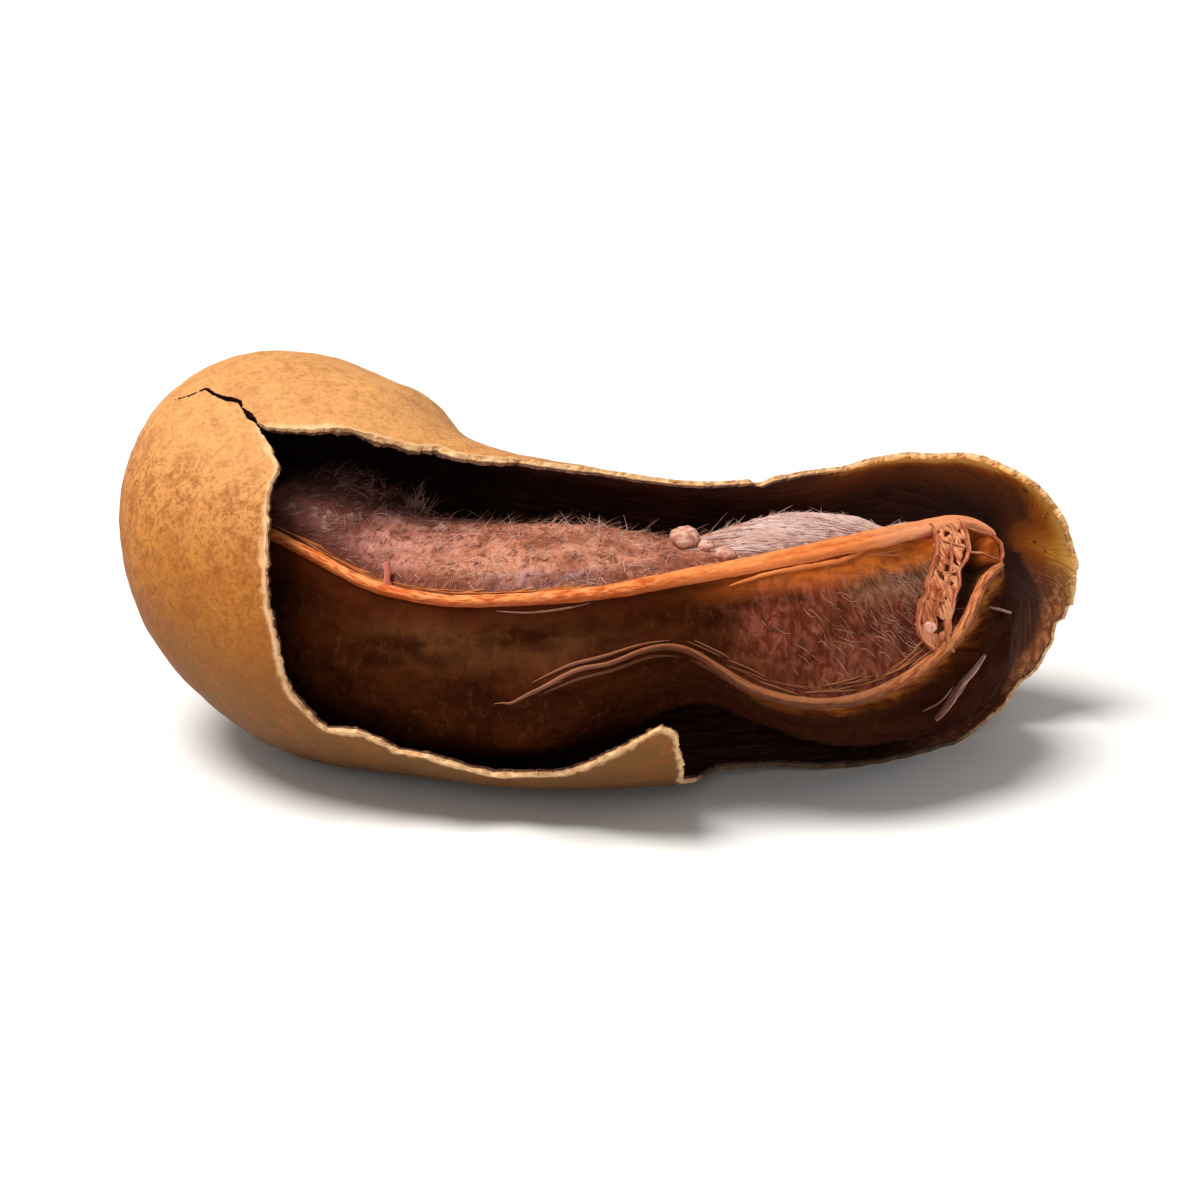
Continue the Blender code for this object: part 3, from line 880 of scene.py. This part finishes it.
def tip_shape(count, ends, blunt=0.2):
    """Thickness along a fibre whose ends narrow over this many rings."""
    order = np.arange(count)
    near = np.clip(np.minimum(order, order[::-1]) / ends, 0, 1)
    return blunt + (1 - blunt) * np.sqrt(1 - (1 - near) ** 2)


def main_fibre(knots, steps, sides, seed, slim, flare=None):
    """A main fibre where its solid is, with strings along it, and a groove where it flares.
    slim gives the share of its solid's width that it keeps, by station."""
    s, angle, half = traced(knots, steps)
    half = half * along(slim, s)
    out = pulp_outward(s, angle)
    path = pulp_surface(s, angle) + out * (GAP + STRAND_HALF_THICKNESS)
    turn = 2 * np.pi * np.arange(sides) / sides
    around = np.stack(np.broadcast_arrays(
        lengths(path)[:, None] * 0.22, np.cos(turn) * 1.1, np.sin(turn) * 1.1
    ), -1).reshape(-1, 3)
    swell = 0.13 * rough(around, 0.55, seed, 3) + 0.07 * rough(around * (4, 1, 1), 1.0, seed + 1)
    swell = swell.reshape(len(s), sides)
    if flare:
        grooved = rise(s, *flare[:2]) * rise(s, *flare[2:])
        on_top = bell(np.cos(turn) + 0.1, 0.28) * (np.sin(turn) > 0)
        swell = swell - 0.5 * grooved[:, None] * on_top
    thin = tip_shape(len(s), steps * 1.5, 0.12)
    return tube(path, out, half * thin, STRAND_HALF_THICKNESS * thin, sides, swell)


def on_skin(s, angle, lift):
    """Points on the uneven pulp, raised by lift, and the way outward there."""
    base, out = pulp_surface(s, angle), pulp_outward(s, angle)
    met = [on_pulp.ray_cast(Vector(p + 3 * n), Vector(-n))[0] for p, n in zip(base, out)]
    far = np.array([(Vector(p) - hit).dot(Vector(n)) for p, n, hit in zip(base, out, met)])
    return base + out * (np.reshape(lift, (-1, 1)) - far[:, None]), out


def string(start, way, radius, lift, rings=9, sides=5, bow=0.0):
    """A fine fibre laid on the pulp, from a place on it along (station, angle) way."""
    t = np.linspace(0, 1, rings)
    s = start[0] + way[0] * t
    angle = np.radians(start[1] + way[1] * t + bow * t * (1 - t))
    path, out = on_skin(s, angle, lift * np.sin(np.pi * t) + 0.3 * radius)
    path[1:-1] = (path[:-2] + 2 * path[1:-1] + path[2:]) / 4
    thin = radius * tip_shape(rings, 3, 0.3)
    return tube(path, out, thin, thin, sides)


def laid_thread(knots, steps, sides, lift):
    """A fine fibre laid on the pulp through knots."""
    s, angle, half = traced(knots, steps)
    path, out = on_skin(s, angle, lift)
    thin = half * tip_shape(len(s), steps)
    return tube(path, out, thin, thin, sides)


parts = [
    main_fibre(
        RIDGE_STRAND, steps=18, sides=28, seed=30, slim=[(-20, 0.8), (5, 0.9), (20, 0.85)],
        flare=(4, 9, 24.5, 22),
    ),
    laid_thread(RIDGE_RIB, steps=14, sides=10, lift=0.08),
]
draw = np.random.default_rng(11)
for _ in range(RIDGE_STRINGS):
    start_s = draw.uniform(-24, 21)
    side = draw.choice((-1, 1)) if start_s > 6 else 1
    half = np.interp(start_s, ridge[:, 0], ridge[:, 2])
    long = draw.uniform(1.0, 3.5)
    at, ahead = np.interp([start_s, start_s + long], ridge[:, 0], ridge[:, 1])
    parts.append(string(
        (start_s, at + side * (half + 0.05) * 7),
        (long, ahead - at + side * draw.uniform(-1, 2.5)), draw.uniform(0.03, 0.08), 0.02,
    ))
ridge_fibre = fibre_mesh("ridge_fibre", parts)
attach(ridge_fibre, "root")
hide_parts("ridge_strand")


def fibre_finish(name, shadowed, body, worn, faded=(), **constants):
    """Dried fibre: painted shade on its lower side, streaked along its length, with worn patches.
    Where it takes on another colour, the worn colour lightens that colour on its upper side as
    painted light. faded lists the places along the pod between which it takes on another colour,
    how much of it, and the colour."""

    def paint(shade):
        flow, place = shade.noted("flow", 1), shade.place()
        side, across = flow.axis(2), place.axis(0)
        streaks = flow.stretched(0.35, 1, 0.4).grain(0.32, 3, 0.6)
        patches = place.grain(0.0022, 3, 0.6)
        low_side = (side + streaks * 0.8 - 0.4).rise(0.1, -0.85)
        lit_side = (side + streaks * 0.6 - 0.3).rise(0.25, 0.75)
        base = (streaks * 0.6 + patches * 0.4).rise(0.40, 0.60).between(body, worn).under(
            (streaks.rise(0.50, 0.36), 0.5, shadowed), (low_side, 0.8, shadowed)
        )
        for start, end, share, tint in faded:
            tint = (lit_side * 0.35).between(tint, worn)
            base = base.under((across.rise(start, end), share, tint))
        return {
            "Base Color": base, "Roughness": 0.42 + patches * 0.25,
            "Normal": streaks.relief(0.00012, 0.7),
        }

    settings = {"Subsurface_Radius": (1.0, 0.4, 0.15), "Subsurface_Scale": 0.0008}
    return finish(name, paint, Specular_IOR_Level=0.15, **settings, **constants)


# On the right the ridge fibre is a brighter orange, and its right-hand end has a pale pinkish
# painted highlight.
ridge_fibre.data.materials.append(fibre_finish(
    "ridge_fibre", (148, 58, 16), (212, 98, 32), (242, 152, 88),
    [(0.0, 0.011, 0.5, (240, 140, 74)), (0.0165, 0.0215, 0.5, (230, 162, 124))],
    Subsurface_Weight=0.15,
))

# ---------------------------------------------------------------------------------------------
# The lower fibre: a thinner, duller cord that swings under the right-hand bulge and up its end.
# It is half buried in the pulp on the left, where finer ones lie beside it, and orange and
# stringy on the right.
# ---------------------------------------------------------------------------------------------

LOWER_STRINGS = 60
# The knots of each finer fibre, and how far it stands off the pulp.
LOWER_TAILS = [
    ([(-5.2, 5.5, 0.05), (-3.2, 12.5, 0.12), (-1.4, 14.5, 0.13), (0.6, 16.5, 0.1),
      (2.2, 15.5, 0.05)], 0.05),
    ([(-4.6, 0.5, 0.05), (-2.8, 5.5, 0.11), (-0.9, 7, 0.12), (1.2, 8.5, 0.11),
      (3.0, 3.5, 0.05)], 0.05),
    ([(-7.4, -7, 0.04), (-6.2, -2.5, 0.1), (-5.0, 2.5, 0.1), (-3.6, 6, 0.05)], 0.04),
]

parts = [main_fibre(
    LOWER_STRAND, steps=14, sides=20, seed=34, slim=[(-5, 0.4), (3, 0.5), (10, 0.7), (22, 0.8)],
)]
for _ in range(LOWER_STRINGS):
    start_s = draw.uniform(3, 19)
    at, ahead = np.interp([start_s, start_s + 2.2], lower[:, 0], lower[:, 1])
    side = draw.choice((-1, 1))
    parts.append(string(
        (start_s, at + side * draw.uniform(3, 8)), (2.2, ahead - at + draw.uniform(-2, 2)),
        draw.uniform(0.04, 0.10), 0.02,
    ))
parts += [laid_thread(knots, 12, 8, lift) for knots, lift in LOWER_TAILS]
lower_fibre = fibre_mesh("lower_fibre", parts)
lower_fibre.data.materials.append(fibre_finish(
    "lower_fibre", (84, 34, 14), (168, 84, 40), (208, 132, 84),
    [(0.025, 0.016, 0.88, (76, 36, 18)), (0.002, -0.001, 0.8, (124, 78, 62))],
    Subsurface_Weight=0.1,
))
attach(lower_fibre, "root")
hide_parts("lower_strand")

# ---------------------------------------------------------------------------------------------
# The end fibre: a short pale lilac fibre low on the right-hand end, with finer scraps beside
# it and one above it.
# ---------------------------------------------------------------------------------------------

parts = [
    main_fibre(END_STRAND, steps=14, sides=16, seed=38, slim=[(17, 0.36), (21, 0.3)]),
    string((22.1, 27), (2.2, -11), 0.12, 0.1, rings=12, sides=8),
    string((19.2, -16), (-0.6, -9), 0.09, 0.1, rings=9, sides=8),
    string((18.6, -6), (-1.5, -15), 0.07, 0.25, rings=14, sides=7),
    string((20.3, 2), (-0.7, -20), 0.05, 0.1, rings=14, sides=7),
]
end_fibre = fibre_mesh("end_fibre", parts)
end_fibre.data.materials.append(fibre_finish(
    "end_fibre", (92, 54, 44), (150, 104, 90), (204, 166, 156),
    Subsurface_Weight=0.1,
))
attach(end_fibre, "root")
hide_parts("end_strand")

# ---------------------------------------------------------------------------------------------
# The fine pale fibres: dry threads that fan out over the felt on the right from the ridge
# fibre, and short ones scattered over the bare bulge below it.
# ---------------------------------------------------------------------------------------------

PALE_THREADS = 190
BULGE_THREADS = 120
UNDER_THREAD = [(-7.4, 37.9, 0.05), (-5.6, 37.2, 0.08), (-3.8, 38.2, 0.09), (-2.2, 40.6, 0.04)]

parts = []
draw = np.random.default_rng(23)
for _ in range(PALE_THREADS):
    start_s = draw.uniform(8, 24)
    at = np.interp(start_s, ridge[:, 0], ridge[:, 1]) + 7 + draw.uniform(0, 18)
    long = draw.uniform(2.5, 6.0)
    parts.append(string(
        (start_s, at), (-long, draw.uniform(4, 24)), draw.uniform(0.045, 0.095), 0.03,
        rings=10, bow=draw.uniform(0, 16),
    ))
pale_threads = fibre_mesh("pale_threads", parts)
pale_threads.data.materials.append(fibre_finish(
    "pale_threads", (164, 114, 100), (208, 164, 150), (238, 206, 196),
))
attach(pale_threads, "root")

parts = [laid_thread(UNDER_THREAD, steps=10, sides=8, lift=0.03)]
for _ in range(BULGE_THREADS):
    start_s = draw.triangular(7, 16, 19.5)
    top, low = (np.interp(start_s, line[:, 0], line[:, 1]) for line in (ridge, lower))
    at = draw.uniform(low + 9, top - 10)
    parts.append(string(
        (start_s, at), (draw.uniform(0.3, 1.4), draw.uniform(-11, -2)),
        draw.uniform(0.03, 0.05), -0.02, rings=7, sides=4, bow=draw.uniform(-10, 10),
    ))
bulge_threads = fibre_mesh("bulge_threads", parts)
bulge_threads.data.materials.append(fibre_finish(
    "bulge_threads", (114, 62, 44), (156, 100, 80), (200, 150, 132),
))
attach(bulge_threads, "root")

# ---------------------------------------------------------------------------------------------
# The lace: a torn web of soft orange fibre that joins the end of the ridge fibre to the lower
# one, with a rib down each side and the pulp sunk behind it, darkened there with painted shade.
# ---------------------------------------------------------------------------------------------

LACE_EDGE = [
    (20.3, 72), (19.2, 57), (17.9, 46.5), (17.3, 40), (16.9, 33), (16.2, 25), (16.6, 17),
    (18.0, 9.5), (18.5, 16), (18.6, 26), (19.2, 33), (20.1, 44.5), (21.2, 55), (22.3, 64),
    (22.7, 72), (21.6, 74),
]
LACE_RIBS = [
    [(20.4, 75, 0.15), (19.8, 63, 0.19), (18.4, 51, 0.15), (17.2, 37, 0.19), (16.4, 26, 0.2),
     (16.6, 18, 0.2), (17.9, 9.5, 0.16)],
    [(22.5, 75, 0.2), (22.4, 66, 0.2), (21.3, 55, 0.16), (20.1, 44, 0.14), (18.9, 31.5, 0.18),
     (18.1, 20, 0.18), (18.4, 11.5, 0.14)],
    [(21.2, 75, 0.13), (21.4, 66, 0.16), (20.3, 57, 0.13), (19.6, 47, 0.11), (18.0, 37, 0.13),
     (17.3, 25, 0.12)],
    [(20.2, 64, 0.08), (21.0, 60, 0.11), (21.6, 58, 0.08)],
    [(18.6, 50, 0.08), (19.5, 47, 0.11), (20.4, 47, 0.08)],
    [(17.3, 37, 0.08), (18.2, 35, 0.12), (19.2, 34, 0.08)],
    [(24.3, 64, 0.12), (24.3, 57, 0.15), (23.9, 50, 0.15), (23.4, 44, 0.12)],
    [(22.6, 68, 0.08), (23.3, 63, 0.13), (24.0, 60, 0.08)],
    [(21.4, 56, 0.08), (22.3, 52, 0.12), (23.3, 47, 0.08)],
]
LACE_CELL = (0.85, 1.45)

steps_s, steps_angle = np.arange(15.8, 23.4, 0.07), np.radians(np.arange(12, 78, 0.5))
grid = np.stack(np.meshgrid(steps_s, steps_angle, indexing="ij"), -1).reshape(-1, 2)
i, j = np.meshgrid(np.arange(len(steps_s) - 1), np.arange(len(steps_angle) - 1), indexing="ij")
a = (i * len(steps_angle) + j).ravel()
b, c, d = a + 1, a + 1 + len(steps_angle), a + len(steps_angle)
faces = np.vstack([np.stack([a, d, b], -1), np.stack([d, c, b], -1)])
place = pulp_surface(grid[:, 0], grid[:, 1])
edge = np.array(LACE_EDGE) * (1, np.pi / 180 * PULP_SCALE)
laid = grid * (1, PULP_SCALE)
from_side = within(laid, edge) + 0.15 * rough(place, 0.9, 41)

# The web follows the borders between cells, where the two nearest centres are equally far.
cells = np.column_stack([laid / LACE_CELL, 0 * laid[:, 0]])
cells = cells + 0.25 * rough(place, 0.8, 42)[:, None]
gaps = np.array([noise.voronoi(Vector(cell))[0][:2] for cell in cells])
web = 0.15 - (gaps[:, 1] - gaps[:, 0]) * 0.5
web = np.maximum(web, 0.4 * rough(place, 1.1, 43) - 0.06)
clear = np.minimum(from_side, web)
data = np.column_stack([place, pulp_outward(grid[:, 0], grid[:, 1]), grid, clear])
data, faces = cut_away(data, faces, clear)
place, out, grid, clear = np.split(data, [3, 6, 8], axis=1)
thick = np.sqrt(np.clip(clear, 0.002, 0.13) * 0.16)
centre = place + out * (0.78 + 0.22 * rough(place, 1.6, 44)[:, None])
rim = open_edges(faces)
count = len(place)
near, far = rim[:, 0], rim[:, 1]
web_faces = np.vstack([
    faces, faces[:, ::-1] + count,
    np.stack([far, near, near + count], -1), np.stack([far, near + count, far + count], -1),
])
notes = np.column_stack([grid[:, 1] * PULP_SCALE, grid[:, 0] * 2, 0.4 + 0 * grid[:, 0]])
skins = np.vstack([centre + out * thick, centre - out * thick])
parts = [(skins, web_faces, np.vstack([notes, notes]))]
for knots in LACE_RIBS:
    s_rib, angle_rib, half = traced(knots, 9)
    sway = rough(pulp_surface(s_rib, angle_rib), 1.4, 47)
    s_rib, angle_rib = s_rib + 0.22 * sway, angle_rib - 0.03 * sway
    out = pulp_outward(s_rib, angle_rib)
    path = pulp_surface(s_rib, angle_rib)
    path = path + out * (0.85 + 0.2 * rough(path, 1.5, 45)[:, None])
    half = half * tip_shape(len(half), 5, 0.5) * (1 + 0.25 * rough(path, 0.7, 46))
    parts.append(tube(path, out, half, half, 12))
lace = fibre_mesh("lace", parts)
lace.data.materials.append(fibre_finish(
    "lace", (128, 54, 24), (184, 94, 52), (234, 156, 112), Subsurface_Weight=0.15
))
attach(lace, "root")

# ---------------------------------------------------------------------------------------------
# The beads and the fibril: small pale nodules of dried sap on the felt, by the ridge fibre and at
# the foot of the lace, and a pink stub of broken fibre that stands on the ridge fibre.
# ---------------------------------------------------------------------------------------------

# Station, angle, how far out the middle is, and radius.
BEADS = [(3.8, 92, 0.35, 0.9), (6.1, 69, 0.4, 0.6), (17.0, 24, 0.85, 0.42), (5.1, 83, 0.1, 0.48)]
FIBRIL = [
    (-13.9, 44.5, 0.7, 0.3), (-14.1, 47, 0.95, 0.24), (-14.2, 50.5, 1.1, 0.22),
    (-14.5, 54.5, 1.1, 0.27),
]


def ball(height, turn):
    """A ball of radius 1."""
    ring = np.sqrt(1 - height**2)
    return np.stack([ring * np.cos(turn), -ring * np.sin(turn), height], axis=-1)


parts = []
for k, (s_bead, angle_bead, rise_by, radius) in enumerate(BEADS):
    s_bead, turn_bead = np.array([s_bead]), np.radians([angle_bead])
    rows = -np.cos(np.linspace(0, np.pi, 22))
    _, shape, faces = wrapped(ball, rows, np.radians(np.arange(0, 360, 12)))
    centre = pulp_surface(s_bead, turn_bead) + pulp_outward(s_bead, turn_bead) * rise_by
    shape = shape * (1 + 0.2 * rough(shape + 3 * k, 0.8, 50 + k, 3))[:, None]
    points = centre + shape * radius * (1.15, 1, 0.9)
    parts.append((points, faces, np.column_stack([points[:, :2] * 2, 0.6 + 0 * points[:, 0]])))
order = np.arange(len(FIBRIL))
s_fibril, turn_fibril, lift, half = (
    along(np.column_stack([order, column]), np.linspace(0, order[-1], 31))
    for column in np.array(FIBRIL).T
)
out = pulp_outward(s_fibril, np.radians(turn_fibril))
path = pulp_surface(s_fibril, np.radians(turn_fibril)) + out * lift[:, None]
parts.append(tube(path, out, half, half, 12, 0.1 * rough(path, 0.4, 56)[:, None]))
beads = fibre_mesh("beads", parts)
beads.data.materials.append(fibre_finish(
    "bead_sap", (160, 98, 78), (198, 134, 112), (230, 184, 166),
    [(-0.008, -0.010, 0.9, (186, 92, 78))],
    Subsurface_Weight=0.25,
))
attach(beads, "root")

# ---------------------------------------------------------------------------------------------
# Floor, light and camera: a plain off-white sheet, a large soft light high on the left with two
# weaker ones to open the shadows, and a long lens that looks down a little.
# ---------------------------------------------------------------------------------------------

LIGHT_TARGET = Vector((0, 0, 0.01))
CAMERA_TARGET = Vector((0, 0, 0.0115))
CAMERA_TILT = np.radians(24)
CAMERA_DISTANCE = 0.32
FLOOR = [(-3, -3, 0), (3, -3, 0), (3, 3, 0), (-3, 3, 0)]

floor_mesh = bpy.data.meshes.new("floor")
floor_mesh.from_pydata(FLOOR, [], [(0, 1, 2, 3)])
floor = bpy.data.objects.new("floor", floor_mesh)
bpy.context.scene.collection.objects.link(floor)
floor.data.materials.append(
    finish("floor_paper", Base_Color=(0.92, 0.915, 0.90, 1), Roughness=0.7)
)


def softbox(name, place, size, power, tint=(1, 1, 1)):
    """A round soft light that shines on the pod."""
    lamp = bpy.data.lights.new(name, "AREA")
    lamp.shape, lamp.size, lamp.energy, lamp.color = "DISK", size, power, tint
    holder = bpy.data.objects.new(name, lamp)
    holder.location = place
    holder.rotation_euler = (LIGHT_TARGET - Vector(place)).to_track_quat("-Z", "Y").to_euler()
    bpy.context.scene.collection.objects.link(holder)


softbox("top_light", (-0.50, -0.12, 1.25), size=0.65, power=21, tint=(1, 0.975, 0.94))
softbox("front_light", (-0.30, -1.25, 0.75), size=0.90, power=2.2)
softbox("side_light", (1.20, -0.20, 0.90), size=0.80, power=1.8)
world = bpy.data.worlds.new("studio")
world.use_nodes = True
sky = world.node_tree.nodes["Background"]
sky.inputs["Color"].default_value = (1, 0.985, 0.96, 1)
sky.inputs["Strength"].default_value = 0.27
bpy.context.scene.world = world
bpy.context.scene.view_settings.view_transform = "Standard"

camera = bpy.data.objects.new("camera", bpy.data.cameras.new("camera"))
toward_camera = Vector((0, -np.cos(CAMERA_TILT), np.sin(CAMERA_TILT)))
camera.location = CAMERA_TARGET + toward_camera * CAMERA_DISTANCE
camera.rotation_euler = toward_camera.to_track_quat("Z", "Y").to_euler()
camera.data.lens = 138
camera.data.sensor_width = 36
camera.data.clip_start = 0.01
bpy.context.scene.collection.objects.link(camera)
bpy.context.scene.camera = camera
